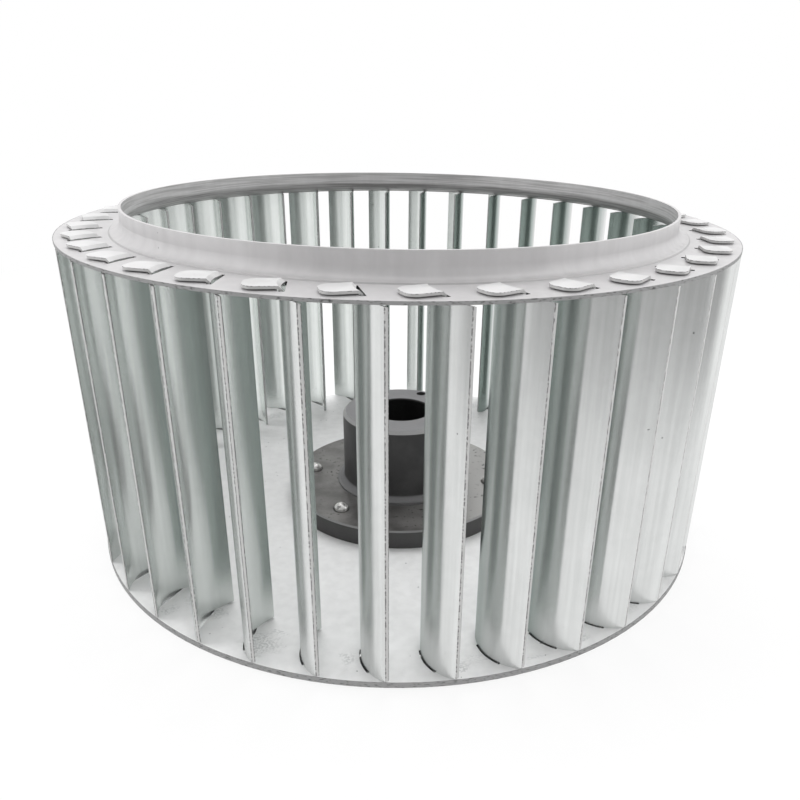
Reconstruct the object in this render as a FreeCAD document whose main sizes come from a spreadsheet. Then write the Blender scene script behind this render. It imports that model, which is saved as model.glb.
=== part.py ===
import FreeCAD, Part
import math
import os
import Sketcher
from FreeCAD import Placement, Rotation, Vector

# Centrifugal fan impeller with forward-curved blades, in millimetres.
# +Z is the shaft axis. The wheel stands on the folded lower tabs of its blades, at z = 0.

# Driving dimensions. Lengths are in millimetres and angles in degrees.
SIZES = {
    "wheel_radius": 125.0,
    "blade_height": 118.4,
    "plate_thickness": 2.0,
    "ring_thickness": 1.0,
    "ring_width": 22.6,
    "neck_height": 8.3,
    "neck_bend": 3.75,
    "crease_step": 0.4,
    "blade_count": 36,
    "first_blade_angle": 8.42,
    "blade_thickness": 0.8,
    "blade_lead": 3.53,
    "blade_sweep": 102.4,
    "tab_width": 9.2,
    "tab_reach": 9.2,
    "tab_corner": 3.4,
    "tab_lean": 16.0,
    "tab_gap": 0.4,
    "fold_bevel": 0.6,
    "clip_length": 3.0,
    "clip_drop": 0.6,
    "slot_clearance": 0.5,
    "slot_play": 1.1,
    "bore_radius": 12.5,
    "bore_chamfer": 0.6,
    "boss_radius": 25.2,
    "boss_height": 32.2,
    "boss_chamfer": 1.2,
    "boss_fillet": 3.0,
    "boss_step": 0.5,
    "flange_radius": 49.0,
    "flange_thickness": 7.8,
    "flange_chamfer": 0.6,
    "spigot_radius": 20.0,
    "spigot_clearance": 0.1,
    "key_width": 8.0,
    "key_depth": 3.3,
    "rivet_count": 6,
    "rivet_margin": 9.5,
    "first_rivet_angle": 51.5,
    "rivet_radius": 2.0,
    "rivet_clearance": 0.1,
    "rivet_head_radius": 2.8,
    "rivet_head_side": 1.1,
    "rivet_head_height": 2.8,
    "rivet_tail_radius": 3.2,
    "rivet_tail_height": 0.8,
    "puller_count": 2,
    "puller_circle": 20.8,
    "first_puller_angle": 64.4,
    "puller_hole_radius": 2.1,
    "puller_hole_depth": 12.0,
    "screw_radius": 4.0,
    "screw_clearance": 0.1,
    "screw_length": 8.0,
    "screw_sink": 0.8,
    "screw_chamfer": 0.7,
    "screw_rise": 15.0,
    "socket_flats": 4.0,
    "socket_depth": 3.5,
}

# Positions worked out from the driving dimensions.
# The blade's layout has its tip on the X axis, and its heel behind by the lead angle.
# A tab's layout has its origin on the blade's arc centre, and the tab's middle on its -Y axis.
LAYOUT = {
    "plate_bottom": "Sizes.blade_thickness + Sizes.tab_gap",
    "plate_top": "plate_bottom + Sizes.plate_thickness",
    "ring_bottom": "plate_top + Sizes.blade_height",
    "ring_top": "ring_bottom + Sizes.ring_thickness",
    "neck_top": "ring_top + Sizes.neck_height",
    "flange_top": "plate_top + Sizes.flange_thickness",
    "boss_top": "flange_top + Sizes.boss_height",
    "inlet_radius": "Sizes.wheel_radius - Sizes.ring_width",
    "neck_radius": "inlet_radius + Sizes.ring_thickness",
    "bend_radius": "neck_radius + Sizes.neck_bend",
    "crease_radius": "bend_radius + Sizes.crease_step",
    "bend_height": "ring_top + Sizes.crease_step + Sizes.neck_bend",
    "heel_x": "inlet_radius * cos(Sizes.blade_lead)",
    "heel_y": "-inlet_radius * sin(Sizes.blade_lead)",
    "half_sweep": "Sizes.blade_sweep / 2",
    "arc_x": "(Sizes.wheel_radius + heel_x) / 2 + heel_y / (2 * tan(half_sweep))",
    "arc_y": "heel_y / 2 + (Sizes.wheel_radius - heel_x) / (2 * tan(half_sweep))",
    "tip_x": "Sizes.wheel_radius - arc_x",
    "arc_radius": "sqrt(tip_x * tip_x + arc_y * arc_y)",
    "arc_place": "sqrt(arc_x * arc_x + arc_y * arc_y)",
    "face_in": "arc_radius - Sizes.blade_thickness / 2",
    "face_out": "arc_radius + Sizes.blade_thickness / 2",
    "tip_turn": "asin(arc_y / arc_radius) * -1 / 1deg",
    "heel_turn": "tip_turn - Sizes.blade_sweep",
    "rim_reach": "Sizes.wheel_radius * Sizes.wheel_radius - arc_place * arc_place - face_out * face_out",
    "rim_turn": "(asin(arc_y / arc_place) - acos(rim_reach / (2 * arc_place * face_out))) / 1deg",
    "fold_out": "Sizes.fold_bevel + Sizes.blade_thickness * (2 - sqrt(2))",
    "tab_half": "Sizes.tab_width / 2",
    "tab_end": "face_out + Sizes.tab_reach",
    "corner_swing": "tab_end - Sizes.tab_corner",
    "corner_x": "tab_half - Sizes.tab_corner",
    "corner_y": "sqrt(corner_swing * corner_swing - corner_x * corner_x) * -1",
    "end_x": "corner_x * tab_end / corner_swing",
    "end_y": "corner_y * tab_end / corner_swing",
    "slot_half": "tab_half + Sizes.slot_play",
    "slot_out": "face_out + Sizes.slot_clearance",
    "slot_out_y": "sqrt(slot_out * slot_out - slot_half * slot_half) * -1",
    "slot_in_y": "Sizes.slot_clearance - sqrt(face_in * face_in - tab_half * tab_half)",
    "rivet_circle": "Sizes.flange_radius - Sizes.rivet_margin",
    "screw_height": "flange_top + Sizes.screw_rise",
    "screw_out": "Sizes.boss_radius - Sizes.screw_sink",
    "screw_in": "screw_out - Sizes.screw_length",
}

doc = FreeCAD.newDocument("Impeller")


def fill_sheet(name, entries, prefix):
    """Makes a spreadsheet with a name in column A and its aliased value in column B."""
    sheet = doc.addObject("Spreadsheet::Sheet", name)
    for row, (alias, entry) in enumerate(entries.items(), start=1):
        sheet.set(f"A{row}", alias)
        sheet.set(f"B{row}", f"{prefix}{entry}")
        sheet.setAlias(f"B{row}", alias)
    doc.recompute()
    return sheet


sizes = fill_sheet("Sizes", SIZES, "")
fill_sheet("Layout", LAYOUT, "=")


def number(formula):
    """Works out an expression on the two sheets."""
    result = sizes.evalExpression(formula)
    return float(getattr(result, "Value", result))


def new_body(label):
    body = doc.addObject("PartDesign::Body", label)
    body.Label = label
    return body


def new_sketch(body, name, plane, height="0", turn="0"):
    """Puts a sketch on one of the body's planes, lifted along and turned about its normal."""
    sketch = body.newObject("Sketcher::SketchObject", name)
    flat = [item for item in body.Origin.OriginFeatures if item.Role == plane][0]
    sketch.AttachmentSupport = [(flat, "")]
    sketch.MapMode = "FlatFace"
    sketch.setExpression("AttachmentOffset.Base.z", height)
    sketch.AttachmentOffset = Placement(Vector(0, 0, 0), Rotation(Vector(0, 0, 1), 0.001))
    sketch.setExpression("AttachmentOffset.Rotation.Angle", turn)
    return sketch


def arc_centre(start, end, radius, side):
    """Finds the centre of an arc of under half a turn; side is 1 for counter-clockwise."""
    chord = end - start
    rise = math.sqrt(max(radius ** 2 - (chord.Length / 2) ** 2, 0.0))
    normal = Vector(-chord.y, chord.x, 0).normalize()
    return (start + end) * 0.5 + normal * rise * side


def add_outline(sketch, corners, arcs):
    """Draws a closed outline whose corners and radii are bound to expressions.

    arcs maps the number of an edge to its radius and its side.
    """
    points = [Vector(number(x), number(y), 0) for x, y in corners]
    first = sketch.GeometryCount
    ends = []
    for index, start in enumerate(points):
        end = points[(index + 1) % len(points)]
        if index not in arcs:
            sketch.addGeometry(Part.LineSegment(start, end), False)
            ends.append((1, 2))
            continue
        radius, side = arcs[index]
        size = number(radius)
        centre = arc_centre(start, end, size, side)
        low, high = (start, end) if side > 0 else (end, start)
        angles = [math.atan2(p.y - centre.y, p.x - centre.x) for p in (low, high)]
        circle = Part.Circle(centre, Vector(0, 0, 1), size)
        sketch.addGeometry(Part.ArcOfCircle(circle, angles[0], angles[1]), False)
        ends.append((1, 2) if side > 0 else (2, 1))
    for index, (x, y) in enumerate(corners):
        edge = first + index
        before = first + (index - 1) % len(points)
        begin, finish = ends[index][0], ends[(index - 1) % len(points)][1]
        sketch.addConstraint(Sketcher.Constraint("Coincident", before, finish, edge, begin))
        bind(sketch, Sketcher.Constraint("DistanceX", -1, 1, edge, begin, number(x)), x)
        bind(sketch, Sketcher.Constraint("DistanceY", -1, 1, edge, begin, number(y)), y)
    for index, (radius, side) in arcs.items():
        edge = first + index
        bind(sketch, Sketcher.Constraint("Radius", edge, number(radius)), radius)


def add_circle(sketch, x, y, radius):
    """Draws a circle whose centre and radius are bound to expressions."""
    centre = Vector(number(x), number(y), 0)
    edge = sketch.addGeometry(Part.Circle(centre, Vector(0, 0, 1), number(radius)), False)
    bind(sketch, Sketcher.Constraint("DistanceX", -1, 1, edge, 3, number(x)), x)
    bind(sketch, Sketcher.Constraint("DistanceY", -1, 1, edge, 3, number(y)), y)
    bind(sketch, Sketcher.Constraint("Radius", edge, number(radius)), radius)


def bind(sketch, constraint, formula):
    place = sketch.addConstraint(constraint)
    sketch.setExpression(f"Constraints[{place}]", formula)


def revolve(body, sketch, name, axis="V_Axis", angle="360"):
    feature = body.newObject("PartDesign::Revolution", name)
    feature.Profile = sketch
    feature.ReferenceAxis = (sketch, [axis])
    feature.Midplane = True
    feature.setExpression("Angle", angle)
    body.Tip = feature
    return feature


def pad(body, sketch, name, length):
    feature = body.newObject("PartDesign::Pad", name)
    feature.Profile = sketch
    feature.setExpression("Length", length)
    body.Tip = feature
    return feature


def cut(body, sketch, name, length=None, outward=False):
    """Cuts the sketch through the whole body, or to a depth against its normal."""
    feature = body.newObject("PartDesign::Pocket", name)
    feature.Profile = sketch
    feature.Reversed = outward
    if length is None:
        feature.Type = "ThroughAll"
        feature.Midplane = True
    else:
        feature.setExpression("Length", length)
    body.Tip = feature
    return feature


def repeat(body, feature, name, count):
    """Repeats a feature evenly about the shaft axis."""
    pattern = body.newObject("PartDesign::PolarPattern", name)
    pattern.Originals = [feature]
    axis = [item for item in body.Origin.OriginFeatures if item.Role == "Z_Axis"][0]
    pattern.Axis = (axis, [""])
    pattern.Angle = 360
    pattern.setExpression("Occurrences", count)
    body.Tip = pattern
    return pattern


def arc_point(radius, turn):
    """Gives the corner of the blade's layout at a radius and turn about its arc centre."""
    return f"Layout.arc_x + {radius} * cos({turn})", f"Layout.arc_y + {radius} * sin({turn})"


def tab_sketch(body, name, turn):
    """Puts a sketch in the layout of a tab, whose blade is turned about the shaft axis."""
    sketch = new_sketch(body, name, "XY_Plane", turn=f"{turn} + Sizes.tab_lean")
    across, along = f"cos({turn})", f"sin({turn})"
    centre_x = f"Layout.arc_x * {across} - Layout.arc_y * {along}"
    centre_y = f"Layout.arc_x * {along} + Layout.arc_y * {across}"
    sketch.setExpression("AttachmentOffset.Base.x", centre_x)
    sketch.setExpression("AttachmentOffset.Base.y", centre_y)
    return sketch


def cut_blade_slots(body):
    """Cuts the slots that the blade tabs pass through: curved outside the blade, straight inside."""
    sketch = tab_sketch(body, "SlotSketch", "Sizes.first_blade_angle")
    corners = [
        ("-Layout.slot_half", "Layout.slot_out_y"),
        ("Layout.slot_half", "Layout.slot_out_y"),
        ("Layout.slot_half", "Layout.slot_in_y"),
        ("-Layout.slot_half", "Layout.slot_in_y"),
    ]
    add_outline(sketch, corners, {0: ("Layout.slot_out", 1)})
    slot = cut(body, sketch, "Slot")
    repeat(body, slot, "Slots", "Sizes.blade_count")


def cut_rivet_holes(body):
    sketch = new_sketch(body, "RivetSketch", "XY_Plane", turn="Sizes.first_rivet_angle")
    add_circle(sketch, "Layout.rivet_circle", "0", "Sizes.rivet_radius + Sizes.rivet_clearance")
    hole = cut(body, sketch, "RivetHole")
    repeat(body, hole, "RivetHoles", "Sizes.rivet_count")


def make_back_plate():
    """The flat sheet disc that carries the blades and the hub."""
    body = new_body("back_plate")
    sketch = new_sketch(body, "DiscSketch", "XY_Plane", height="Layout.plate_bottom")
    add_circle(sketch, "0", "0", "Sizes.wheel_radius")
    add_circle(sketch, "0", "0", "Sizes.spigot_radius + Sizes.spigot_clearance")
    pad(body, sketch, "Disc", "Sizes.plate_thickness")
    cut_blade_slots(body)
    cut_rivet_holes(body)
    return body


def make_inlet_ring():
    """The flat sheet ring on the blades, drawn up into the inlet neck at its inner edge."""
    body = new_body("inlet_ring")
    sketch = new_sketch(body, "RingSketch", "XZ_Plane")
    step = "Sizes.crease_step"
    corners = [
        ("Sizes.wheel_radius", "Layout.ring_bottom"),
        ("Sizes.wheel_radius", "Layout.ring_top"),
        ("Layout.crease_radius", "Layout.ring_top"),
        ("Layout.bend_radius", f"Layout.ring_top + {step}"),
        ("Layout.neck_radius", "Layout.bend_height"),
        ("Layout.neck_radius", "Layout.neck_top"),
        ("Layout.inlet_radius", "Layout.neck_top"),
        ("Layout.inlet_radius", "Layout.bend_height"),
        ("Layout.bend_radius", f"Layout.ring_bottom + {step}"),
        ("Layout.crease_radius", "Layout.ring_bottom"),
    ]
    arcs = {3: ("Sizes.neck_bend", -1), 7: ("Sizes.neck_bend + Sizes.ring_thickness", 1)}
    add_outline(sketch, corners, arcs)
    revolve(body, sketch, "Ring")
    cut_blade_slots(body)
    return body


def make_blade(number_in_row):
    """One curved sheet blade, with a tab at each end folded over the plate and the ring."""
    body = new_body(f"blade_{number_in_row + 1:02d}")
    fold_tabs(body)
    trim_tabs(body)
    sketch = new_sketch(body, "SheetSketch", "XY_Plane", height="Layout.plate_top")
    corners = [
        arc_point("Layout.face_out", "Layout.heel_turn"),
        arc_point("Layout.face_out", "Layout.rim_turn"),
        ("Sizes.wheel_radius", "0"),
        arc_point("Layout.face_in", "Layout.tip_turn"),
        arc_point("Layout.face_in", "Layout.heel_turn"),
    ]
    add_outline(sketch, corners, {0: ("Layout.face_out", 1), 3: ("Layout.face_in", -1)})
    pad(body, sketch, "Sheet", "Sizes.blade_height")
    clip_corners(body, "HeelClip", "XZ_Plane", "Layout.heel_x", 1)
    clip_corners(body, "TipClip", "YZ_Plane", "0", -1)
    body.Placement = Placement(Vector(0, 0, 0), Rotation(Vector(0, 0, 1), 1))
    turn = f"Sizes.first_blade_angle + {number_in_row} * 360 / Sizes.blade_count"
    body.setExpression("Placement.Rotation.Angle", turn)
    return body


def fold_tabs(body):
    """Turns the sheet's folded section about the blade's arc centre, over the whole sweep."""
    sketch = new_sketch(body, "FoldSketch", "XZ_Plane", height="-Layout.arc_y")
    sketch.AttachmentOffset = Placement(Vector(0, 0, 0), Rotation(Vector(0, 1, 0), 1))
    sketch.setExpression("AttachmentOffset.Base.x", "Layout.arc_x")
    sketch.setExpression("AttachmentOffset.Rotation.Angle", "(Layout.tip_turn + Layout.heel_turn) / 2")
    inner, outer = "Sizes.fold_bevel", "Layout.fold_out"
    far = "Layout.tab_end + Sizes.tab_corner"
    over = "Sizes.blade_thickness"
    under = "Layout.ring_top + Sizes.tab_gap"
    top = f"{under} + Sizes.blade_thickness"
    corners = [
        (far, "0"),
        (far, over),
        (f"Layout.face_out + {inner}", over),
        ("Layout.face_out", f"{over} + {inner}"),
        ("Layout.face_out", f"{under} - {inner}"),
        (f"Layout.face_out + {inner}", under),
        (far, under),
        (far, top),
        (f"Layout.face_in + {outer}", top),
        ("Layout.face_in", f"{top} - {outer}"),
        ("Layout.face_in", outer),
        (f"Layout.face_in + {outer}", "0"),
    ]
    add_outline(sketch, corners, {})
    revolve(body, sketch, "Fold", angle="Sizes.blade_sweep")


def trim_tabs(body):
    """Cuts the folded sheet back to the tab's width, with a curved end and round corners."""
    sketch = tab_sketch(body, "TabSketch", "0")
    border = "(Layout.tab_end + 3 * Sizes.tab_corner)"
    block = [(f"{a}{border}", f"{b}{border}") for a, b in ("--", "+-", "++", "-+")]
    add_outline(sketch, block, {})
    tab = [
        ("-Layout.tab_half", "0"),
        ("-Layout.tab_half", "Layout.corner_y"),
        ("-Layout.end_x", "Layout.end_y"),
        ("Layout.end_x", "Layout.end_y"),
        ("Layout.tab_half", "Layout.corner_y"),
        ("Layout.tab_half", "0"),
    ]
    corner = "Sizes.tab_corner"
    add_outline(sketch, tab, {1: (corner, 1), 2: ("Layout.tab_end", 1), 3: (corner, 1)})
    cut(body, sketch, "Trim")


def clip_corners(body, name, plane, place, inward):
    """Clips both corners of one end of the sheet, seen along the plane's normal.

    place is where that end stands in the plane, and inward is the sign of the way into the sheet.
    """
    sketch = new_sketch(body, f"{name}Sketch", plane)
    inner = f"{place} + {inward} * Sizes.clip_length"
    outer = f"{place} - {inward} * Sizes.clip_length"
    for level, sign in (("Layout.plate_top", "+"), ("Layout.ring_bottom", "-")):
        low = f"{level} {sign} 2 * Sizes.clip_drop"
        add_outline(sketch, [(inner, level), (outer, level), (outer, low)], {})
    cut(body, sketch, name)


def make_hub():
    """The cast hub: a boss on a round flange, with a spigot that centres it in the plate."""
    body = new_body("hub")
    sketch = new_sketch(body, "HubSketch", "XZ_Plane")
    bevel, edge, soft = "Sizes.bore_chamfer", "Sizes.flange_chamfer", "Sizes.boss_fillet"
    corners = [
        ("Sizes.bore_radius", f"Layout.plate_bottom + {bevel}"),
        (f"Sizes.bore_radius + {bevel}", "Layout.plate_bottom"),
        ("Sizes.spigot_radius", "Layout.plate_bottom"),
        ("Sizes.spigot_radius", "Layout.plate_top"),
        ("Sizes.flange_radius", "Layout.plate_top"),
        ("Sizes.flange_radius", f"Layout.flange_top - {edge}"),
        (f"Sizes.flange_radius - {edge}", "Layout.flange_top"),
        (f"Sizes.boss_radius + {soft}", "Layout.flange_top"),
        (f"Sizes.boss_radius + {soft}", "Layout.flange_top + Sizes.boss_step"),
        ("Sizes.boss_radius", f"Layout.flange_top + Sizes.boss_step + {soft}"),
        ("Sizes.boss_radius", "Layout.boss_top - Sizes.boss_chamfer"),
        ("Sizes.boss_radius - Sizes.boss_chamfer", "Layout.boss_top"),
        (f"Sizes.bore_radius + {bevel}", "Layout.boss_top"),
        ("Sizes.bore_radius", f"Layout.boss_top - {bevel}"),
    ]
    add_outline(sketch, corners, {8: (soft, -1)})
    revolve(body, sketch, "Casting")
    cut_keyway(body)
    cut_rivet_holes(body)
    cut_puller_holes(body)
    cut_screw_hole(body)
    return body


def cut_keyway(body):
    sketch = new_sketch(body, "KeySketch", "XY_Plane")
    depth, half = "Sizes.bore_radius + Sizes.key_depth", "Sizes.key_width / 2"
    add_outline(sketch, [("0", f"-{half}"), (depth, f"-{half}"), (depth, half), ("0", half)], {})
    cut(body, sketch, "Keyway")


def cut_puller_holes(body):
    """Cuts the blind holes that a puller's screws hold on to."""
    sketch = new_sketch(body, "PullerSketch", "XY_Plane", "Layout.boss_top", "Sizes.first_puller_angle")
    add_circle(sketch, "Sizes.puller_circle", "0", "Sizes.puller_hole_radius")
    hole = cut(body, sketch, "PullerHole", "Sizes.puller_hole_depth")
    repeat(body, hole, "PullerHoles", "Sizes.puller_count")


def cut_screw_hole(body):
    """Cuts the hole over the keyway that the set screw sits in."""
    sketch = new_sketch(body, "ScrewSketch", "YZ_Plane")
    add_circle(sketch, "0", "Layout.screw_height", "Sizes.screw_radius + Sizes.screw_clearance")
    cut(body, sketch, "ScrewHole", "Sizes.boss_radius + Sizes.boss_fillet", outward=True)


def make_rivet(number_in_row):
    """One rivet, with a tall domed head on the flange and a low tail under the plate."""
    body = new_body(f"rivet_{number_in_row + 1}")
    sketch = new_sketch(body, "RivetSketch", "XZ_Plane")
    head, height = "Sizes.rivet_head_radius", "Sizes.rivet_head_height"
    corners = [
        ("0", "Layout.plate_bottom - Sizes.rivet_tail_height"),
        ("Sizes.rivet_radius", "Layout.plate_bottom - Sizes.rivet_tail_height"),
        ("Sizes.rivet_tail_radius", "Layout.plate_bottom"),
        ("Sizes.rivet_radius", "Layout.plate_bottom"),
        ("Sizes.rivet_radius", "Layout.flange_top"),
        (head, "Layout.flange_top"),
        (head, "Layout.flange_top + Sizes.rivet_head_side"),
        ("0", f"Layout.flange_top + {height}"),
    ]
    rise = f"({height} - Sizes.rivet_head_side)"
    dome = f"({head} * {head} + {rise} * {rise}) / (2 * {rise})"
    add_outline(sketch, corners, {6: (dome, 1)})
    revolve(body, sketch, "Rivet")
    turn = f"(Sizes.first_rivet_angle + {number_in_row} * 360 / Sizes.rivet_count)"
    body.setExpression("Placement.Base.x", f"Layout.rivet_circle * cos({turn})")
    body.setExpression("Placement.Base.y", f"Layout.rivet_circle * sin({turn})")
    return body


def make_set_screw():
    """The socket set screw that holds the hub to the shaft's key."""
    body = new_body("set_screw")
    sketch = new_sketch(body, "ScrewSketch", "XZ_Plane")
    sketch.setExpression("AttachmentOffset.Base.y", "Layout.screw_height")
    edge = "Sizes.screw_chamfer"
    corners = [
        ("Layout.screw_in", "0"),
        ("Layout.screw_out", "0"),
        ("Layout.screw_out", f"Sizes.screw_radius - {edge}"),
        (f"Layout.screw_out - {edge}", "Sizes.screw_radius"),
        (f"Layout.screw_in + {edge}", "Sizes.screw_radius"),
        ("Layout.screw_in", f"Sizes.screw_radius - {edge}"),
    ]
    add_outline(sketch, corners, {})
    revolve(body, sketch, "Screw", axis="H_Axis")
    socket = new_sketch(body, "SocketSketch", "YZ_Plane", height="Layout.screw_out")
    reach = "Sizes.socket_flats / (2 * cos(30))"
    corners = []
    for corner in range(6):
        turn = 60 * corner
        corners.append((f"{reach} * cos({turn})", f"Layout.screw_height + {reach} * sin({turn})"))
    add_outline(socket, corners, {})
    cut(body, socket, "Socket", "Sizes.socket_depth")
    return body


pieces = [make_back_plate(), make_inlet_ring(), make_hub(), make_set_screw()]
pieces += [make_blade(index) for index in range(SIZES["blade_count"])]
pieces += [make_rivet(index) for index in range(SIZES["rivet_count"])]
doc.recompute()

# Everything is checked before anything is written.
for item in doc.Objects:
    if "Invalid" in item.State or "Error" in item.State:
        raise RuntimeError(f"{item.Label} failed: {item.State}")
for piece in pieces:
    if piece.Shape.isNull() or not piece.Shape.isValid() or len(piece.Shape.Solids) != 1:
        raise RuntimeError(f"{piece.Label} isn't one valid solid")

os.makedirs("parts", exist_ok=True)
for piece in pieces:
    piece.Shape.exportStep(f"parts/{piece.Label}.step")
    box = piece.Shape.BoundBox
    print(f"{piece.Label}: volume {piece.Shape.Volume:.1f}, z {box.ZMin:.2f} to {box.ZMax:.2f}")
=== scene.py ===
import math

import bpy
import numpy as np
from mathutils import Matrix, Vector


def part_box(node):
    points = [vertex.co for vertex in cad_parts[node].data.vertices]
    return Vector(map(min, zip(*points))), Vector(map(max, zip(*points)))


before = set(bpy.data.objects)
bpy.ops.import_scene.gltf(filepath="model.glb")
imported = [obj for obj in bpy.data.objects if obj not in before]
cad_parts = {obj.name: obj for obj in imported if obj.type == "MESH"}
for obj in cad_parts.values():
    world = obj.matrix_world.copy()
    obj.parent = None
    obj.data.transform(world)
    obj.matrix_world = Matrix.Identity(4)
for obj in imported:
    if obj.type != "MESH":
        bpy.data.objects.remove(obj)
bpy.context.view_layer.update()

# The view. The camera stands in front of the wheel and above it, so that it looks down into the
# inlet and out between the blades. Places are in metres, in the wheel's own frame, and the
# camera's angles are in radians.
CAMERA_PLACE = Vector((0.0, -0.30745, 0.16914))
CAMERA_YAW = 0.0337
CAMERA_PITCH = 0.4324
CAMERA_ROLL = 0.0207
CAMERA_LENS = 34.32
CAMERA_SHIFT = (-0.0305, 0.0533)
CAMERA_NEAREST = 0.01


def camera_turn(yaw, pitch, roll):
    """Turns a camera right of +Y by yaw, down by pitch, and then about its own axis by roll."""
    level = Vector((math.sin(yaw), math.cos(yaw), 0.0))
    ahead = level * math.cos(pitch) - Vector((0.0, 0.0, math.sin(pitch)))
    right = Vector((math.cos(yaw), -math.sin(yaw), 0.0))
    up = right.cross(ahead)
    across = right * math.cos(roll) + up * math.sin(roll)
    upward = up * math.cos(roll) - right * math.sin(roll)
    return Matrix((across, upward, -ahead)).transposed().to_4x4()


camera = bpy.data.objects.new("camera", bpy.data.cameras.new("camera"))
camera.data.lens = CAMERA_LENS
camera.data.shift_x, camera.data.shift_y = CAMERA_SHIFT
camera.data.clip_start = CAMERA_NEAREST
turn = camera_turn(CAMERA_YAW, CAMERA_PITCH, CAMERA_ROLL)
camera.matrix_world = Matrix.Translation(CAMERA_PLACE) @ turn
bpy.context.scene.collection.objects.link(camera)
bpy.context.scene.camera = camera
bpy.context.scene.view_settings.view_transform = "Standard"


# The studio. A white floor runs into a white surround, and keeps a faint shadow near the wheel.
# Soft lamps stand behind, beside and in front of it, and a grey card that only reflections see,
# round the front, gives the bare metal its darker side. The card's angles are in degrees.
AMBIENT = 0.62
FLOOR_SIZE = 8.0
FLOOR_COLOR = (0.90, 0.90, 0.90, 1.0)
FLOOR_ROUGHNESS = 0.9
SHADOW_REACH = (0.20, 0.60)
SHADOW_SHARE = 0.15
LAMPS = {
    "lamp_above": {"place": (0.05, 0.80, 1.35), "size": 1.4, "power": 15.0},
    "lamp_right": {"place": (1.40, 0.10, 0.80), "size": 1.0, "power": 8.0},
    "lamp_left": {"place": (-1.40, 0.10, 0.80), "size": 1.0, "power": 14.0},
    "lamp_front": {"place": (0.70, -1.30, 0.75), "size": 1.2, "power": 7.0},
}
LAMP_TARGET = Vector((0.0, 0.0, 0.06))
CARD_GREY = (0.36, 0.36, 0.36, 1.0)
CARD_NEAR = (0.27, 0.46)
CARD_HIGH = (0.05, 0.15)
CARD_RADIUS = 1.1
CARD_FOOT = 0.001
CARD_RISE = 86.0
CARD_RISE_STEPS = 16
CARD_ARC = (-158.0, -17.0)
CARD_ARC_STEPS = 48
CARD_SOFT_ENDS = (45.0, 22.0)


def add_node(tree, kind, inputs=(), **settings):
    """Adds a node, sets its properties, and sets or links its inputs, given as (socket, value)."""
    node = tree.nodes.new(kind)
    for name, value in settings.items():
        setattr(node, name, value)
    for socket, value in inputs:
        if isinstance(value, bpy.types.NodeSocket):
            tree.links.new(value, node.inputs[socket])
        else:
            node.inputs[socket].default_value = value
    return node


def calculate(tree, operation, *values):
    """One Math node; its result is returned as a socket."""
    return add_node(tree, "ShaderNodeMath", enumerate(values), operation=operation).outputs[0]


def product(tree, first, *others):
    """Several values multiplied together."""
    result = first
    for value in others:
        result = calculate(tree, "MULTIPLY", result, value)
    return result


def ramp(tree, value, start, end, low=0.0, high=1.0):
    """Maps a value from start..end to low..high smoothly, and holds it at both ends."""
    return add_node(tree, "ShaderNodeMapRange", [
        ("Value", value), ("From Min", start), ("From Max", end), ("To Min", low), ("To Max", high),
    ], interpolation_type="SMOOTHSTEP").outputs[0]


def part_of(tree, vector, axis):
    """One part of a vector: its X, Y or Z."""
    return add_node(tree, "ShaderNodeSeparateXYZ", [(0, vector)]).outputs[axis]


def vector_math(tree, operation, *vectors):
    """One Vector Math node; all its outputs are returned."""
    return add_node(tree, "ShaderNodeVectorMath", enumerate(vectors), operation=operation).outputs


def flat(tree, vector):
    """A vector without its part along the shaft."""
    return vector_math(tree, "MULTIPLY", vector, (1.0, 1.0, 0.0))["Vector"]


def distance_from_axis(tree, place):
    """The distance of a point from the shaft axis: the square root of x squared plus y squared."""
    return vector_math(tree, "LENGTH", flat(tree, place))["Value"]


def turn_about_axis(tree, place):
    """The angle of a point about the shaft axis, in radians from +X."""
    return calculate(tree, "ARCTAN2", part_of(tree, place, "Y"), part_of(tree, place, "X"))


def seen_directly(tree):
    """1 for what the camera, a reflection or a clear material sees, and 0 for light on things."""
    path = add_node(tree, "ShaderNodeLightPath").outputs
    seen = calculate(tree, "MAXIMUM", path["Is Camera Ray"], path["Is Glossy Ray"])
    return calculate(tree, "MAXIMUM", seen, path["Is Transmission Ray"])


def new_material(name):
    """A node material, with its node tree and its shader."""
    material = bpy.data.materials.new(name)
    material.use_nodes = True
    return material, material.node_tree, material.node_tree.nodes["Principled BSDF"]


def stage_object(name, mesh, material):
    """Adds a mesh that belongs to the studio and not to the wheel."""
    mesh.materials.append(material)
    thing = bpy.data.objects.new(name, mesh)
    bpy.context.scene.collection.objects.link(thing)
    return thing


def white_world():
    """White to the eye and to reflections, and dimmer as light on the wheel."""
    world = bpy.data.worlds.new("studio")
    world.use_nodes = True
    backdrop = world.node_tree.nodes["Background"]
    backdrop.inputs["Color"].default_value = (1.0, 1.0, 1.0, 1.0)
    level = ramp(world.node_tree, seen_directly(world.node_tree), 0.0, 1.0, AMBIENT, 1.0)
    world.node_tree.links.new(level, backdrop.inputs["Strength"])
    return world


def flat_square(name, size):
    """A level square at height 0: x and y each run from minus to plus half its size."""
    half = size / 2
    mesh = bpy.data.meshes.new(name)
    corners = [(-half, -half, 0), (half, -half, 0), (half, half, 0), (-half, half, 0)]
    mesh.from_pydata(corners, [], [(0, 1, 2, 3)])
    return mesh


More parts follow.
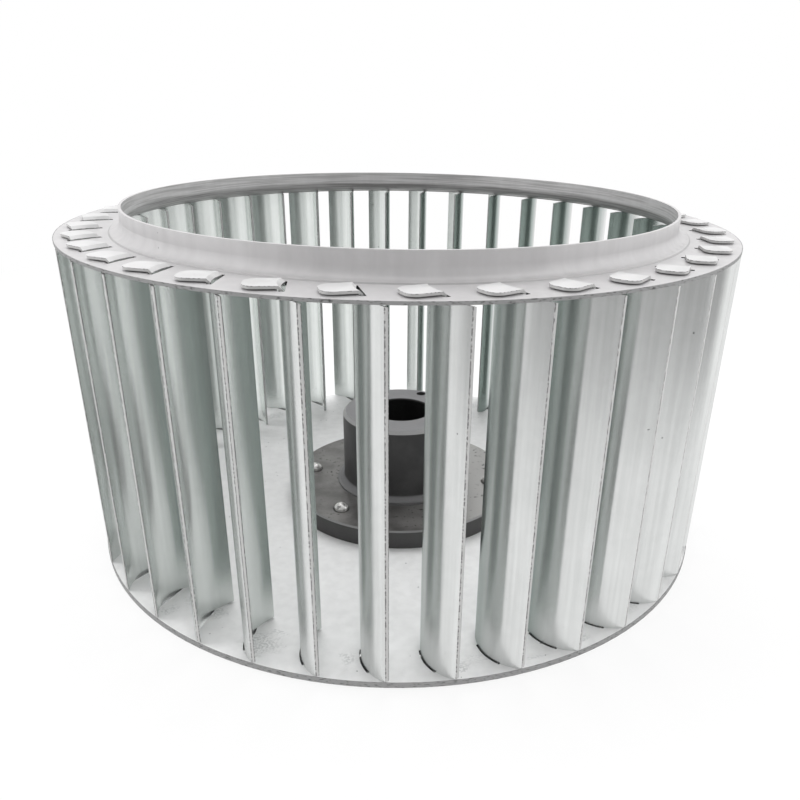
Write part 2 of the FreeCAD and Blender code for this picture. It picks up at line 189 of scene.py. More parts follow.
def floor_material():
    """White like the surround, with a share of the real floor and its shadow near the wheel."""
    material, tree, shader = new_material("white_floor")
    shader.inputs["Base Color"].default_value = FLOOR_COLOR
    shader.inputs["Roughness"].default_value = FLOOR_ROUGHNESS
    place = add_node(tree, "ShaderNodeTexCoord").outputs["Object"]
    lit = ramp(tree, distance_from_axis(tree, place), *SHADOW_REACH, SHADOW_SHARE, 0.0)
    white = product(tree, seen_directly(tree), calculate(tree, "SUBTRACT", 1.0, lit))
    glow = add_node(tree, "ShaderNodeEmission", [("Color", (1.0, 1.0, 1.0, 1.0)), ("Strength", 1.0)])
    paper = add_node(tree, "ShaderNodeMixShader", [
        (0, white), (1, shader.outputs[0]), (2, glow.outputs[0])])
    tree.links.new(paper.outputs[0], tree.nodes["Material Output"].inputs["Surface"])
    return material


def arc_sheet(name, profile, arc, steps):
    """A sheet about the Z axis: each (r, z) of the profile is carried from one angle to the other.

    A point is x = r times the cosine of the angle, y = r times its sine, and z.
    """
    turn = np.radians(np.linspace(*arc, steps))
    r, z = np.array(profile).T
    x, y = np.outer(np.cos(turn), r), np.outer(np.sin(turn), r)
    points = np.stack([x, y, np.tile(z, (steps, 1))], axis=-1)
    corner = np.arange(steps * len(r)).reshape(steps, len(r))
    faces = np.stack([corner[:-1, :-1], corner[1:, :-1], corner[1:, 1:], corner[:-1, 1:]], axis=-1)
    mesh = bpy.data.meshes.new(name)
    mesh.from_pydata(points.reshape(-1, 3).tolist(), [], faces.reshape(-1, 4).tolist())
    return mesh


def card_profile():
    """A level run out from near the wheel, and a dome: r is the cosine of the rise, z its sine."""
    rise = np.radians(np.linspace(0, CARD_RISE, CARD_RISE_STEPS))
    dome = zip(CARD_RADIUS * np.cos(rise), CARD_FOOT + CARD_RADIUS * np.sin(rise))
    return [(CARD_NEAR[0], CARD_FOOT)] + list(dome)


def card_material():
    """Plain grey that fades in away from the wheel, and fades out at both ends of its arc."""
    material, tree, shader = new_material("grey_card")
    tree.nodes.remove(shader)
    place = add_node(tree, "ShaderNodeTexCoord").outputs["Object"]
    near = ramp(tree, distance_from_axis(tree, place), *CARD_NEAR)
    high = ramp(tree, part_of(tree, place, "Z"), *CARD_HIGH)
    turn = turn_about_axis(tree, place)
    first, last = np.radians(CARD_ARC)
    soft_first, soft_last = np.radians(CARD_SOFT_ENDS)
    share = product(tree, calculate(tree, "MAXIMUM", near, high),
                    ramp(tree, turn, first, first + soft_first),
                    ramp(tree, turn, last, last - soft_last))
    clear = add_node(tree, "ShaderNodeBsdfTransparent")
    solid = add_node(tree, "ShaderNodeEmission", [("Color", CARD_GREY), ("Strength", 1.0)])
    card = add_node(tree, "ShaderNodeMixShader", [
        (0, share), (1, clear.outputs[0]), (2, solid.outputs[0])])
    tree.links.new(card.outputs[0], tree.nodes["Material Output"].inputs["Surface"])
    return material


def add_lamp(name, place, size, power):
    """A soft square lamp that looks at the wheel and isn't mirrored in it."""
    lamp = bpy.data.objects.new(name, bpy.data.lights.new(name, "AREA"))
    lamp.data.size = size
    lamp.data.energy = power
    lamp.location = place
    lamp.rotation_euler = (LAMP_TARGET - Vector(place)).to_track_quat("-Z", "Y").to_euler()
    lamp.visible_glossy = False
    bpy.context.scene.collection.objects.link(lamp)


bpy.context.scene.world = white_world()
stage_object("floor", flat_square("floor", FLOOR_SIZE), floor_material())
card_mesh = arc_sheet("grey_card", card_profile(), CARD_ARC, CARD_ARC_STEPS)
card = stage_object("grey_card", card_mesh, card_material())
card.visible_camera = False
card.visible_diffuse = False
card.visible_transmission = False
card.visible_shadow = False
for name, lamp in LAMPS.items():
    add_lamp(name, **lamp)


# The back plate: a disc of 2 mm galvanised steel, punched with a curved slot for each blade.
# Its zinc is pale, with a soft mottle and a few dark specks, and its sheared rim is darker.
# Scales are in repeats per metre, and a span is where a mask goes from 0 to 1.
WHEEL_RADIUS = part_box("back_plate")[1][0]
PLATE_BRIGHT = (0.93, 0.93, 0.93, 1.0)
PLATE_SHADE = (0.84, 0.845, 0.845, 1.0)
PLATE_SPECKS = 1.0
PLATE_SCUFFS = 0.7
PLATE_METAL = 0.15
PLATE_ROUGHNESS = 0.48
NOISE_SPAN = (0.3, 0.7)
CLOUD_SCALE = 42.0
CLOUD_ROUGHNESS = 0.06
CRYSTAL_SCALE = 330.0
CRYSTAL_LEVELS = (0.98, 1.0)
STREAK_SCALE = 260.0
STREAK_STRETCH = (1.0, 1.0, 0.05)
STREAK_LEVELS = (0.94, 1.0)
SPECK_COLOR = (0.13, 0.14, 0.14, 1.0)
SPECK_SHARE = 0.75
SPECK_SCALE = 230.0
SPECK_SIZE = 0.085
SPECK_RARITY = 0.40
SPECK_PATCHES = 28.0
SPECK_PATCH_SPAN = (0.42, 0.58)
WOBBLE_SCALE = 900.0
WOBBLE_SIZE = 0.0009
GRAIN_SCALE = 2200.0
STREAK_HEIGHT = 0.75
GRAIN_HEIGHT = 0.25
RELIEF_DEPTH = 0.0003
DISC_RELIEF = 0.12
CUT_ROUGHNESS = 0.2
RIM_COLOR = (0.30, 0.30, 0.30, 1.0)
RIM_DIRT = (0.07, 0.07, 0.07, 1.0)
RIM_DIRT_SCALE = 700.0
RIM_DIRT_STRETCH = (1.0, 1.0, 3.0)
RIM_DIRT_SPAN = (0.52, 0.72)
RIM_DEPTH = 0.00015
WALL_SPAN = (0.5, 0.3)
# Painted shade: the colour for the walls of the slots.
SLOT_SHADE = (0.035, 0.035, 0.035, 1.0)
SLOT_BAND = (WHEEL_RADIUS - 0.0175, WHEEL_RADIUS - 0.0030)
SCUFF_COLOR = (0.52, 0.53, 0.53, 1.0)
SCUFF_SCALE = 75.0
SCUFF_SPAN = (0.54, 0.68)
SCRATCH_SCALE = 1300.0
SCRATCH_SPAN = (0.40, 0.60)


def new_group(name, inputs, outputs):
    """An empty node group. Sockets are given as name to kind; the group's ends come with it."""
    group = bpy.data.node_groups.new(name, "ShaderNodeTree")
    for socket, kind in inputs.items():
        group.interface.new_socket(socket, in_out="INPUT", socket_type=f"NodeSocket{kind}")
    for socket, kind in outputs.items():
        group.interface.new_socket(socket, in_out="OUTPUT", socket_type=f"NodeSocket{kind}")
    given = group.nodes.new("NodeGroupInput").outputs
    made = group.nodes.new("NodeGroupOutput").inputs
    return group, given, made


def mixed(tree, share, first, second, blend="MIX"):
    """Goes from the first colour to the second by a share.

    The node's inputs 6 and 7, and its output 2, are the ones for colours.
    """
    return add_node(tree, "ShaderNodeMix", [(0, share), (6, first), (7, second)],
                    data_type="RGBA", blend_type=blend).outputs[2]


def grey(tree, value):
    """A colour, or a vector, with the same value three times."""
    return add_node(tree, "ShaderNodeCombineXYZ", [(0, value), (1, value), (2, value)]).outputs[0]


def darkened(tree, color, level):
    """A colour multiplied by a level that changes over the surface."""
    return mixed(tree, 1.0, color, grey(tree, level), "MULTIPLY")


def noise(tree, place, scale, detail=3.0, stretch=None):
    """Noise about 0.5, nearly all of it within NOISE_SPAN, with detail as its number of octaves.

    It is drawn out along an axis where stretch is under 1.
    """
    if stretch:
        place = vector_math(tree, "MULTIPLY", place, stretch)["Vector"]
    return add_node(tree, "ShaderNodeTexNoise", [
        ("Vector", place), ("Scale", scale), ("Detail", detail)]).outputs[0]


def cells(tree, place, scale):
    """Random cells: the distance from each cell's seed, and three random values for each cell."""
    found = add_node(tree, "ShaderNodeTexVoronoi", [("Vector", place), ("Scale", scale)]).outputs
    chances = add_node(tree, "ShaderNodeSeparateColor", [(0, found["Color"])]).outputs
    return found["Distance"], chances


def speck_mask(tree, place, share):
    """1 in small ragged specks that gather in patches: some cells hold one, round their seed."""
    wobble = grey(tree, product(tree, noise(tree, place, WOBBLE_SCALE, detail=2.0), WOBBLE_SIZE))
    bent = vector_math(tree, "ADD", place, wobble)["Vector"]
    distance, chances = cells(tree, bent, SPECK_SCALE)
    size = ramp(tree, chances["Blue"], SPECK_RARITY, 1.0, 0.0, SPECK_SIZE)
    patch = ramp(tree, noise(tree, place, SPECK_PATCHES, detail=2.0), *SPECK_PATCH_SPAN)
    return calculate(tree, "LESS_THAN", distance, product(tree, size, share, patch))


def zinc_coat():
    """Hot-dip zinc: cloudy patches, crystals of a few millimetres, rolling streaks and specks."""
    group, given, made = new_group(
        "zinc_coat",
        {"Vector": "Vector", "Bright": "Color", "Shade": "Color", "Specks": "Float"},
        {"Color": "Color", "Cloud": "Float", "Height": "Float"})
    place = given["Vector"]
    cloud = noise(group, place, CLOUD_SCALE, detail=5.0)
    chances = cells(group, place, CRYSTAL_SCALE)[1]
    streak = noise(group, place, STREAK_SCALE, detail=4.0, stretch=STREAK_STRETCH)
    color = mixed(group, cloud, given["Shade"], given["Bright"])
    color = darkened(group, color, ramp(group, chances["Red"], 0.0, 1.0, *CRYSTAL_LEVELS))
    color = darkened(group, color, ramp(group, streak, *NOISE_SPAN, *STREAK_LEVELS))
    speck = speck_mask(group, place, given["Specks"])
    color = mixed(group, product(group, speck, SPECK_SHARE), color, SPECK_COLOR)
    grain = noise(group, place, GRAIN_SCALE, detail=2.0)
    height = calculate(group, "ADD", product(group, streak, STREAK_HEIGHT),
                       product(group, grain, GRAIN_HEIGHT))
    group.links.new(color, made["Color"])
    group.links.new(cloud, made["Cloud"])
    group.links.new(height, made["Height"])
    return group


ZINC_COAT = zinc_coat()


def coat(tree, place, bright, shade, specks):
    """Places the zinc coat in a material and returns its outputs."""
    return add_node(tree, "ShaderNodeGroup", [
        ("Vector", place), ("Bright", bright), ("Shade", shade), ("Specks", specks),
    ], node_tree=ZINC_COAT).outputs


def add_relief(tree, shader, height, strength, depth):
    """Gives a shader a fine relief from a height."""
    bump = add_node(tree, "ShaderNodeBump", [
        ("Strength", strength), ("Distance", depth), ("Height", height)])
    tree.links.new(bump.outputs[0], shader.inputs["Normal"])


def finish_sheet(tree, shader, zinc, color, cut, roughness, relief):
    """Sends a sheet's colour, roughness and relief to its shader. Cut edges are rougher."""
    tree.links.new(color, shader.inputs["Base Color"])
    smooth = ramp(tree, zinc["Cloud"], 0.0, 1.0, roughness + CLOUD_ROUGHNESS, roughness)
    rough = calculate(tree, "ADD", smooth, product(tree, cut, CUT_ROUGHNESS))
    tree.links.new(rough, shader.inputs["Roughness"])
    add_relief(tree, shader, zinc["Height"], relief, RELIEF_DEPTH)


def dress(node, material):
    """Gives a CAD node its material."""
    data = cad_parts[node].data
    data.materials.clear()
    data.materials.append(material)


def disc_material(name, bright, shade, specks, scuffs, metal, roughness):
    """Galvanised sheet with a dirty rim, painted shade on the walls of its slots, and scuffs beside
    the blades.
    """
    material, tree, shader = new_material(name)
    coordinates = add_node(tree, "ShaderNodeTexCoord").outputs
    place = coordinates["Object"]
    reach = distance_from_axis(tree, place)
    level = calculate(tree, "ABSOLUTE", part_of(tree, coordinates["Normal"], "Z"))
    wall = ramp(tree, level, *WALL_SPAN)
    in_band = product(tree, calculate(tree, "GREATER_THAN", reach, SLOT_BAND[0]),
                      calculate(tree, "LESS_THAN", reach, SLOT_BAND[1]))
    scuffed = ramp(tree, noise(tree, place, SCUFF_SCALE, detail=5.0), *SCUFF_SPAN)
    scratched = ramp(tree, noise(tree, place, SCRATCH_SCALE, detail=2.0), *SCRATCH_SPAN)
    scuff = product(tree, in_band, scuffed, scratched, scuffs)
    rim = ramp(tree, reach, WHEEL_RADIUS - 2 * RIM_DEPTH, WHEEL_RADIUS - RIM_DEPTH)
    dirt = noise(tree, place, RIM_DIRT_SCALE, detail=4.0, stretch=RIM_DIRT_STRETCH)
    dirt = ramp(tree, dirt, *RIM_DIRT_SPAN)
    zinc = coat(tree, place, bright, shade, specks)
    color = mixed(tree, scuff, zinc["Color"], SCUFF_COLOR)
    # Painted shade: upright walls within the slot band are made nearly black.
    color = mixed(tree, product(tree, in_band, wall), color, SLOT_SHADE)
    color = mixed(tree, rim, color, mixed(tree, dirt, RIM_COLOR, RIM_DIRT))
    finish_sheet(tree, shader, zinc, color, rim, roughness, DISC_RELIEF)
    shader.inputs["Metallic"].default_value = metal
    return material


dress("back_plate", disc_material("plate_zinc", PLATE_BRIGHT, PLATE_SHADE, PLATE_SPECKS,
                                  PLATE_SCUFFS, PLATE_METAL, PLATE_ROUGHNESS))


# The inlet ring: 1 mm galvanised steel, punched like the plate and drawn up into a neck at its
# inner edge. Drawing has smoothed the zinc, and left a thin crease where the neck begins and
# fine dirty lines round the inside of the neck. Painted shade darkens the inner bend of the
# neck, and a painted dark line runs along the crease.
RING_BRIGHT = (0.655, 0.645, 0.65, 1.0)
RING_SHADE = (0.595, 0.585, 0.59, 1.0)
RING_SPECKS = 0.7
RING_SCUFFS = 0.15
RING_METAL = 0.48
RING_ROUGHNESS = 0.36
RING_WIDTH = 0.0226
RING_GRIME_AND_SHADE = (0.24, 0.235, 0.235, 1.0)
NECK_INSIDE = (-0.01, -0.03)
DRAWN_LINES = 2400.0
DRAWN_STRETCH = (0.015, 0.015, 1.0)
DRAWN_SPAN = (0.45, 0.62)
DRAWN_GRIME = (0.12, 0.55)
# Painted shade at the inner bend of the neck, and along the crease.
INNER_BEND = (0.1251, 0.1266)
BEND_SHADE = 0.55
CREASE_RADIUS = 0.1074
CREASE_WIDTH = 0.0004
CREASE_SHADE = 0.45


def ring_material():
    """The sheet's finish, with dirty lines and painted shade in the neck, and painted shade in the
    crease.
    """
    material = disc_material("ring_zinc", RING_BRIGHT, RING_SHADE, RING_SPECKS,
                             RING_SCUFFS, RING_METAL, RING_ROUGHNESS)
    tree = material.node_tree
    base = tree.nodes["Principled BSDF"].inputs["Base Color"]
    coordinates = add_node(tree, "ShaderNodeTexCoord").outputs
    place = coordinates["Object"]
    outward = vector_math(tree, "DOT_PRODUCT", flat(tree, place), coordinates["Normal"])["Value"]
    inside = ramp(tree, outward, *NECK_INSIDE)
    lines = noise(tree, place, DRAWN_LINES, detail=2.0, stretch=DRAWN_STRETCH)
    lines = ramp(tree, lines, *DRAWN_SPAN, *DRAWN_GRIME)
    # Painted shade: the inner bend of the neck is darkened.
    bend = ramp(tree, part_of(tree, place, "Z"), INNER_BEND[1], INNER_BEND[0], 0.0, BEND_SHADE)
    grime_and_shade = product(tree, inside, calculate(tree, "ADD", lines, bend))
    color = mixed(tree, grime_and_shade, base.links[0].from_socket, RING_GRIME_AND_SHADE)
    # Painted shade: a thin dark line along the crease.
    off_crease = calculate(tree, "SUBTRACT", distance_from_axis(tree, place), CREASE_RADIUS)
    crease = ramp(tree, calculate(tree, "ABSOLUTE", off_crease),
                  CREASE_WIDTH, CREASE_WIDTH / 4, 0.0, CREASE_SHADE)
    tree.links.new(mixed(tree, crease, color, RING_GRIME_AND_SHADE), base)
    return material


dress("inlet_ring", ring_material())


# The blades: 0.8 mm galvanised steel, formed on rolls to a forward curve, with a tab at each end
# that is folded over the plate and the ring. The zinc is a little greener. Painted shade darkens
# the round side towards the heel, and the hollow side is painted lighter. The shears left the
# edges bright, with a dark broken line where the metal tore.
BLADE_COUNT = sum(node.startswith("blade_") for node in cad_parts)
BLADE_THICKNESS = 0.0008
FIRST_BLADE_ANGLE = math.radians(8.42)
BLADE_LEAD = math.radians(3.53)
BLADE_SWEEP = math.radians(102.4)
HEEL_RADIUS = WHEEL_RADIUS - RING_WIDTH
HEEL_ROOM_SHARE = 0.6
TAB_GAP = 0.0004
TABS_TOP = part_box("blade_01")[1][2]
BLADE_BRIGHT = (0.81, 0.82, 0.815, 1.0)
BLADE_SHADE = (0.755, 0.77, 0.762, 1.0)
BLADE_SPECKS = 1.0
BLADE_ROUGHNESS = 0.22
BLADE_RELIEF = 0.10
BLADE_ANISOTROPY = 0.85
BLADE_GRAIN_TURN = 0.25
ROUND_SPAN = (-0.1, 0.1)
SHEET_FACING = 0.95
LEVEL_FACING = 0.5
ROUND_METAL = 0.93
HOLLOW_METAL = 0.80
# Painted light: the hollow side is made lighter and a little greener.
HOLLOW_LIGHT_TINT = (1.065, 1.09, 1.075, 1.0)
# Painted shade on the round side of each blade, from a little behind the tip to the heel.
ROUND_SIDE_SHADE = (0.46, 0.53, 0.505, 1.0)
ROUND_SHADE_FROM = (0.011, 0.022)
ROLL_LINES = 700.0
ROLL_LINES_DRIFT = 0.02
ROLL_LINE_SPAN = (0.32, 0.68)
ROLL_LINE_LEVELS = (0.94, 1.0)
DULL_METAL = 0.45
TAB_COLOR = (0.72, 0.71, 0.715, 1.0)
TAB_SHARE = 0.8
SHEARED = (0.56, 0.56, 0.555, 1.0)
TORN = (0.11, 0.11, 0.11, 1.0)
RAGGED_SCALE = 1500.0
RAGGED_SHIFT = (-0.00006, 0.00006)
TORN_INNER = (-0.00013, -0.00021)
TORN_OUTER = (0.00024, 0.00030)
TORN_OUTER_SHARE = 0.8
TORN_SPAN = (0.36, 0.54)
TORN_LIP = (TABS_TOP - 0.00022, TABS_TOP - 0.00008)
TORN_LIP_SPAN = (0.45, 0.6)


def blade_arc():
    """The blade's arc in its own layout, with the tip on X and the heel behind it by the lead.

    The centre stands off the chord by half its length over the tangent of half the sweep.
    """
    tip = np.array([WHEEL_RADIUS, 0.0])
    heel = HEEL_RADIUS * np.array([math.cos(BLADE_LEAD), -math.sin(BLADE_LEAD)])
    chord = tip - heel
    normal = np.array([-chord[1], chord[0]])
    centre = (tip + heel) / 2 + normal / (2 * math.tan(BLADE_SWEEP / 2))
    return centre, float(np.linalg.norm(tip - centre)), math.atan2(-centre[1], tip[0] - centre[0])


def blade_place():
    """Where a point lies on its blade, from Object coordinates.

    The angle about the shaft is taken modulo one blade pitch, with room behind the tip for the
    heel, and turned back into the first blade's layout. Along is the arc length from the tip,
    Across the distance outward from the middle of the sheet, and Facing the normal's part along
    the arc's radius: 1 on the round side of the blade and -1 in its hollow.
    """
    centre, radius, tip_turn = blade_arc()
    group, given, made = new_group(
        "blade_place", {"Vector": "Vector", "Normal": "Vector"},
        {"Along": "Float", "Across": "Float", "Facing": "Float"})
    reach = distance_from_axis(group, given["Vector"])
    pitch = 2 * math.pi / BLADE_COUNT
    behind = HEEL_ROOM_SHARE * pitch
    turn = turn_about_axis(group, given["Vector"])
    local = calculate(group, "ADD", turn, behind - FIRST_BLADE_ANGLE)
    local = calculate(group, "FLOORED_MODULO", local, pitch)
    local = calculate(group, "SUBTRACT", local, behind)
    x = product(group, reach, calculate(group, "COSINE", local))
    y = product(group, reach, calculate(group, "SINE", local))
    x = calculate(group, "SUBTRACT", x, centre[0])
    y = calculate(group, "SUBTRACT", y, centre[1])
    squares = calculate(group, "ADD", product(group, x, x), product(group, y, y))
    swing = calculate(group, "ARCTAN2", y, x)
    along = product(group, calculate(group, "SUBTRACT", tip_turn, swing), radius)
    across = calculate(group, "SUBTRACT", calculate(group, "SQRT", squares), radius)
    outward = calculate(group, "ADD", swing, calculate(group, "SUBTRACT", turn, local))
    radial = add_node(group, "ShaderNodeCombineXYZ", [
        (0, calculate(group, "COSINE", outward)), (1, calculate(group, "SINE", outward))]).outputs[0]
    facing = vector_math(group, "DOT_PRODUCT", radial, given["Normal"])["Value"]
    group.links.new(along, made["Along"])
    group.links.new(across, made["Across"])
    group.links.new(facing, made["Facing"])
    return group


def roll_lines(tree, place, along, height):
    """The level of the lines that the rolls left along a blade: noise over the arc length.

    It drifts slowly along the blade, and with the angle about the shaft, so that blades differ.
    """
    lengthways = add_node(tree, "ShaderNodeCombineXYZ", [
        (0, along), (1, product(tree, height, ROLL_LINES_DRIFT)),
        (2, product(tree, turn_about_axis(tree, place), ROLL_LINES_DRIFT))]).outputs[0]
    return ramp(tree, noise(tree, lengthways, ROLL_LINES), *ROLL_LINE_SPAN, *ROLL_LINE_LEVELS)


def cut_color(tree, ragged, across, height, in_tab):
    """The colours of a sheared edge: bright metal, with a dark torn line at its borders."""
    shifted = calculate(tree, "ADD", across, ramp(tree, ragged, *NOISE_SPAN, *RAGGED_SHIFT))
    border = calculate(tree, "MAXIMUM", ramp(tree, shifted, *TORN_INNER),
                       ramp(tree, shifted, *TORN_OUTER, 0.0, TORN_OUTER_SHARE))
    torn_end = product(tree, border, ramp(tree, ragged, *TORN_SPAN))
    torn_tab = product(tree, ramp(tree, height, *TORN_LIP), ramp(tree, ragged, *TORN_LIP_SPAN))
    end = mixed(tree, torn_end, SHEARED, TORN)
    return mixed(tree, in_tab, end, mixed(tree, torn_tab, SHEARED, TORN))


def blade_material():
    """Galvanised sheet with lines along it, painted shade and light, dull tabs, and bare cut edges.
    """
    material, tree, shader = new_material("blade_zinc")
    coordinates = add_node(tree, "ShaderNodeTexCoord").outputs
    place, normal = coordinates["Object"], coordinates["Normal"]
    where = add_node(tree, "ShaderNodeGroup", [("Vector", place), ("Normal", normal)],
                     node_tree=blade_place()).outputs
    height = part_of(tree, place, "Z")
    low_tab = calculate(tree, "LESS_THAN", height, BLADE_THICKNESS + TAB_GAP / 2)
    high_tab = calculate(tree, "GREATER_THAN", height, TABS_TOP - BLADE_THICKNESS - TAB_GAP / 2)
    in_tab = calculate(tree, "MAXIMUM", low_tab, high_tab)
    level = calculate(tree, "ABSOLUTE", part_of(tree, normal, "Z"))
    tab_edge = product(tree, in_tab, calculate(tree, "LESS_THAN", level, LEVEL_FACING))
    facing = calculate(tree, "ABSOLUTE", where["Facing"])
    end_face = product(tree, calculate(tree, "SUBTRACT", 1.0, in_tab),
                       calculate(tree, "LESS_THAN", facing, SHEET_FACING))
    cut = calculate(tree, "MAXIMUM", end_face, tab_edge)
    round_side = ramp(tree, where["Facing"], *ROUND_SPAN)
    # Painted shade: the round side is darkened from a little behind the tip to the heel.
    round_shade = product(tree, round_side, ramp(tree, where["Along"], *ROUND_SHADE_FROM))
    ragged = noise(tree, place, RAGGED_SCALE)
    zinc = coat(tree, place, BLADE_BRIGHT, BLADE_SHADE, BLADE_SPECKS)
    # Painted light: the hollow side is made lighter and a little greener.
    hollow = mixed(tree, 1.0, zinc["Color"], HOLLOW_LIGHT_TINT, "MULTIPLY")
    color = mixed(tree, round_side, hollow, zinc["Color"])
    color = mixed(tree, round_shade, color, ROUND_SIDE_SHADE, "MULTIPLY")
    color = darkened(tree, color, roll_lines(tree, place, where["Along"], height))
    color = mixed(tree, product(tree, in_tab, TAB_SHARE), color, TAB_COLOR)
    color = mixed(tree, cut, color, cut_color(tree, ragged, where["Across"], height, in_tab))
    dull = calculate(tree, "MAXIMUM", cut, in_tab)
    finish_sheet(tree, shader, zinc, color, dull, BLADE_ROUGHNESS, BLADE_RELIEF)
    bare = ramp(tree, round_side, 0.0, 1.0, HOLLOW_METAL, ROUND_METAL)
    tree.links.new(ramp(tree, dull, 0.0, 1.0, bare, DULL_METAL), shader.inputs["Metallic"])
    shader.inputs["Anisotropic"].default_value = BLADE_ANISOTROPY
    shader.inputs["Anisotropic Rotation"].default_value = BLADE_GRAIN_TURN
    return material


blade_zinc = blade_material()
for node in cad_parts:
    if node.startswith("blade_"):
        dress(node, blade_zinc)


# The hub: a boss on a round flange, cast in iron and painted dark. Its end face and its edges
# are turned bright after casting, and six rivets hold the flange to the plate. The flange's paint
# is stained, and its top is painted lighter than its side, with a painted reflection pale on one
# side and painted shade round each rivet. A painted highlight lightens the fillet at the base of
# the boss, and painted shade darkens the bore.
BOSS_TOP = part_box("hub")[1][2]
BOSS_RADIUS = 0.0252
BORE_RADIUS = 0.0125
FLANGE_TOP = 0.0110
FLANGE_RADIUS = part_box("hub")[1][1]
RIVET_CIRCLE = 0.0395
RIVET_COUNT = sum(node.startswith("rivet_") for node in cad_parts)
FIRST_RIVET_ANGLE = math.radians(51.5)
RIVET_HEAD_RADIUS = 0.0028
# Painted shade: a dark ring on the flange round each rivet head.
RIVET_FOOT_SHADE = (RIVET_HEAD_RADIUS + 0.0008, RIVET_HEAD_RADIUS + 0.0003)
IRON_DARK = (0.045, 0.044, 0.045, 1.0)
IRON_WORN = (0.068, 0.067, 0.067, 1.0)
IRON_SPAN = (0.35, 0.7)
IRON_TURNED = (0.22, 0.22, 0.225, 1.0)
IRON_EDGE = (0.34, 0.34, 0.34, 1.0)
IRON_METAL = 0.35
IRON_ROUGHNESS = (0.42, 0.58)
SAND_SCALE = 1100.0
SAND_RELIEF = 0.35
STAIN_SCALE = 90.0
UPWARD_SPAN = (0.3, 0.6)
BEVEL_FROM = (0.5, 0.65)
BEVEL_TO = (0.95, 0.8)
BOSS_FACE = (BOSS_TOP - 0.0015, BOSS_TOP - 0.0011)
BOSS_RIM = (BOSS_RADIUS - 0.0022, BOSS_RADIUS - 0.0018)
# Painted shade for the bore.
BORE_SHADE = (0.005, 0.005, 0.005, 1.0)
BORE_WALL = (BORE_RADIUS + 0.0006, BORE_RADIUS + 0.0003)
# Painted highlight on the fillet at the base of the boss.
FOOT_HIGHLIGHT_SHARE = 0.8
FOOT_HEIGHT = (FLANGE_TOP + 0.0032, FLANGE_TOP + 0.0022)
FOOT_REACH = (BOSS_RADIUS + 0.0034, BOSS_RADIUS + 0.0028)
# Painted light: the flange's up-facing top is much paler than its side, with real stains.
FLANGE_TOP_LIT_DARK = (0.180, 0.174, 0.170, 1.0)
FLANGE_TOP_LIT_WORN = (0.310, 0.302, 0.295, 1.0)
# Painted reflection: paler on the flange's +X side.
FLANGE_REFLECTION = (0.47, 0.465, 0.455, 1.0)
FLANGE_SIDE = (0.070, 0.069, 0.069, 1.0)
FLANGE_FACE = FLANGE_TOP + 0.0007
FLANGE_RIM = (FLANGE_RADIUS - 0.0008, FLANGE_RADIUS - 0.0005)
FLANGE_SPAN = (0.32, 0.68)
FLANGE_METAL = 0.75
FLANGE_POLISH = 0.12
REFLECTION_SIDE = (0.018, 0.036)
# The colour of pits, and of the painted shade round the rivets.
PIT_AND_SHADE_COLOR = (0.030, 0.029, 0.028, 1.0)
PIT_SHARE = 0.8
PIT_SCALE = 520.0
PIT_SPAN = (0.60, 0.68)
PIT_STAINS = (0.45, 0.60)


def distance_from_rivets(tree, place):
    """The distance from the nearest rivet's axis, by the cosine rule within one rivet pitch."""
    reach = distance_from_axis(tree, place)
    pitch = 2 * math.pi / RIVET_COUNT
    turn = turn_about_axis(tree, place)
    from_first = calculate(tree, "SUBTRACT", turn, FIRST_RIVET_ANGLE - pitch / 2)
    local = calculate(tree, "FLOORED_MODULO", from_first, pitch)
    swing = calculate(tree, "COSINE", calculate(tree, "SUBTRACT", local, pitch / 2))
    sides = calculate(tree, "ADD", product(tree, reach, reach), RIVET_CIRCLE ** 2)
    gap = calculate(tree, "SUBTRACT", sides, product(tree, reach, swing, 2 * RIVET_CIRCLE))
    return calculate(tree, "SQRT", calculate(tree, "MAXIMUM", gap, 0.0))


def flange_lit_skin(tree, place, stain):
    """Flange top: stained iron, painted light and reflection, pits, painted shade at the rivets."""
    skin = mixed(tree, ramp(tree, stain, *FLANGE_SPAN), FLANGE_TOP_LIT_DARK, FLANGE_TOP_LIT_WORN)
    # Painted reflection: the flange's top is paler towards +X.
    reflected = ramp(tree, part_of(tree, place, "X"), *REFLECTION_SIDE)
    skin = mixed(tree, reflected, skin, FLANGE_REFLECTION)
    pits = product(tree, ramp(tree, noise(tree, place, PIT_SCALE), *PIT_SPAN),
                   ramp(tree, stain, *PIT_STAINS), PIT_SHARE)
    skin = mixed(tree, pits, skin, PIT_AND_SHADE_COLOR)
    # Painted shade: a dark ring round the base of each rivet head.
    shade_ring = ramp(tree, distance_from_rivets(tree, place), *RIVET_FOOT_SHADE)
    return mixed(tree, shade_ring, skin, PIT_AND_SHADE_COLOR)


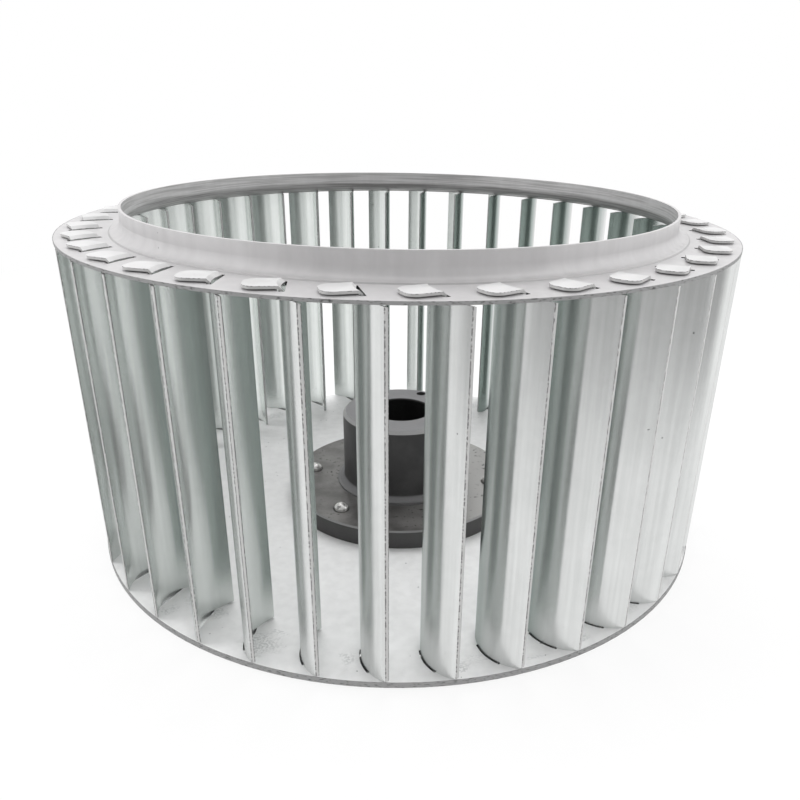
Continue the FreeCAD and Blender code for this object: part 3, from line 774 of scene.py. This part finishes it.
def hub_material():
    """Dark cast iron with a sandy skin, a turned end face, bright bevels, and painted light and
    shade.
    """
    material, tree, shader = new_material("cast_iron")
    coordinates = add_node(tree, "ShaderNodeTexCoord").outputs
    place = coordinates["Object"]
    height = part_of(tree, place, "Z")
    facing = part_of(tree, coordinates["Normal"], "Z")
    reach = distance_from_axis(tree, place)
    stain = noise(tree, place, STAIN_SCALE, detail=5.0)
    upward = ramp(tree, facing, *UPWARD_SPAN)
    on_flange = product(tree, calculate(tree, "LESS_THAN", height, FLANGE_FACE), upward)
    on_top = ramp(tree, height, *BOSS_FACE)
    bevel = product(tree, ramp(tree, facing, *BEVEL_FROM), ramp(tree, facing, *BEVEL_TO))
    boss_rim = product(tree, on_top, ramp(tree, reach, *BOSS_RIM))
    rim = calculate(tree, "MAXIMUM", ramp(tree, reach, *FLANGE_RIM), boss_rim)
    # Painted highlight: the fillet at the base of the boss takes the pale turned colour.
    foot_highlight = product(tree, ramp(tree, height, *FOOT_HEIGHT), ramp(tree, reach, *FOOT_REACH), FOOT_HIGHLIGHT_SHARE)
    color = mixed(tree, ramp(tree, stain, *IRON_SPAN), IRON_DARK, IRON_WORN)
    color = mixed(tree, calculate(tree, "LESS_THAN", height, FLANGE_TOP), color, FLANGE_SIDE)
    # Painted light: the flange's up-facing top is much paler than its side, with real stains.
    color = mixed(tree, on_flange, color, flange_lit_skin(tree, place, stain))
    color = mixed(tree, product(tree, on_top, upward), color, IRON_TURNED)
    color = mixed(tree, product(tree, bevel, rim), color, IRON_EDGE)
    color = mixed(tree, foot_highlight, color, IRON_TURNED)
    # Painted shade: the bore and its mouth are made nearly black.
    color = mixed(tree, ramp(tree, reach, *BORE_WALL), color, BORE_SHADE)
    tree.links.new(color, shader.inputs["Base Color"])
    rough = calculate(tree, "SUBTRACT", ramp(tree, stain, *NOISE_SPAN, *IRON_ROUGHNESS),
                      product(tree, on_flange, FLANGE_POLISH))
    tree.links.new(rough, shader.inputs["Roughness"])
    metal = ramp(tree, on_flange, 0.0, 1.0, IRON_METAL, FLANGE_METAL)
    tree.links.new(metal, shader.inputs["Metallic"])
    sand = noise(tree, place, SAND_SCALE, detail=4.0)
    add_relief(tree, shader, sand, SAND_RELIEF, RELIEF_DEPTH)
    return material


dress("hub", hub_material())


# The rivets: plain zinc-plated steel, headed on the flange and closed under the plate. The
# hammer leaves small flats on the heads.
RIVET_BRIGHT = (0.88, 0.87, 0.85, 1.0)
RIVET_SHADE = (0.34, 0.335, 0.33, 1.0)
RIVET_METAL = 0.7
RIVET_ROUGHNESS = (0.40, 0.24)
BLOW_SCALE = 420.0
BLOW_SPAN = (0.36, 0.48)
BLOW_RELIEF = 0.4
BLOW_DEPTH = 0.0006


def rivet_material():
    """Bright plated steel, with darker and rougher hollows between the hammer's blows."""
    material, tree, shader = new_material("rivet_steel")
    place = add_node(tree, "ShaderNodeTexCoord").outputs["Object"]
    blow = noise(tree, place, BLOW_SCALE, detail=2.0)
    color = mixed(tree, ramp(tree, blow, *BLOW_SPAN), RIVET_SHADE, RIVET_BRIGHT)
    tree.links.new(color, shader.inputs["Base Color"])
    rough = ramp(tree, blow, *NOISE_SPAN, *RIVET_ROUGHNESS)
    tree.links.new(rough, shader.inputs["Roughness"])
    shader.inputs["Metallic"].default_value = RIVET_METAL
    add_relief(tree, shader, blow, BLOW_RELIEF, BLOW_DEPTH)
    return material


rivet_steel = rivet_material()
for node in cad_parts:
    if node.startswith("rivet_"):
        dress(node, rivet_steel)


# The set screw: black alloy steel with a hexagon socket, turned into the boss over the keyway.
# Handling has rubbed its black finish in places.
SCREW_BLACK = (0.030, 0.030, 0.032, 1.0)
SCREW_WORN = (0.10, 0.10, 0.10, 1.0)
SCREW_METAL = 0.8
SCREW_ROUGHNESS = (0.35, 0.5)
RUB_SCALE = 600.0
RUB_SPAN = (0.5, 0.75)


def screw_material():
    """Black steel, a little paler and rougher where it is rubbed."""
    material, tree, shader = new_material("black_steel")
    place = add_node(tree, "ShaderNodeTexCoord").outputs["Object"]
    rub = noise(tree, place, RUB_SCALE)
    color = mixed(tree, ramp(tree, rub, *RUB_SPAN), SCREW_BLACK, SCREW_WORN)
    tree.links.new(color, shader.inputs["Base Color"])
    rough = ramp(tree, rub, *NOISE_SPAN, *SCREW_ROUGHNESS)
    tree.links.new(rough, shader.inputs["Roughness"])
    shader.inputs["Metallic"].default_value = SCREW_METAL
    return material


dress("set_screw", screw_material())
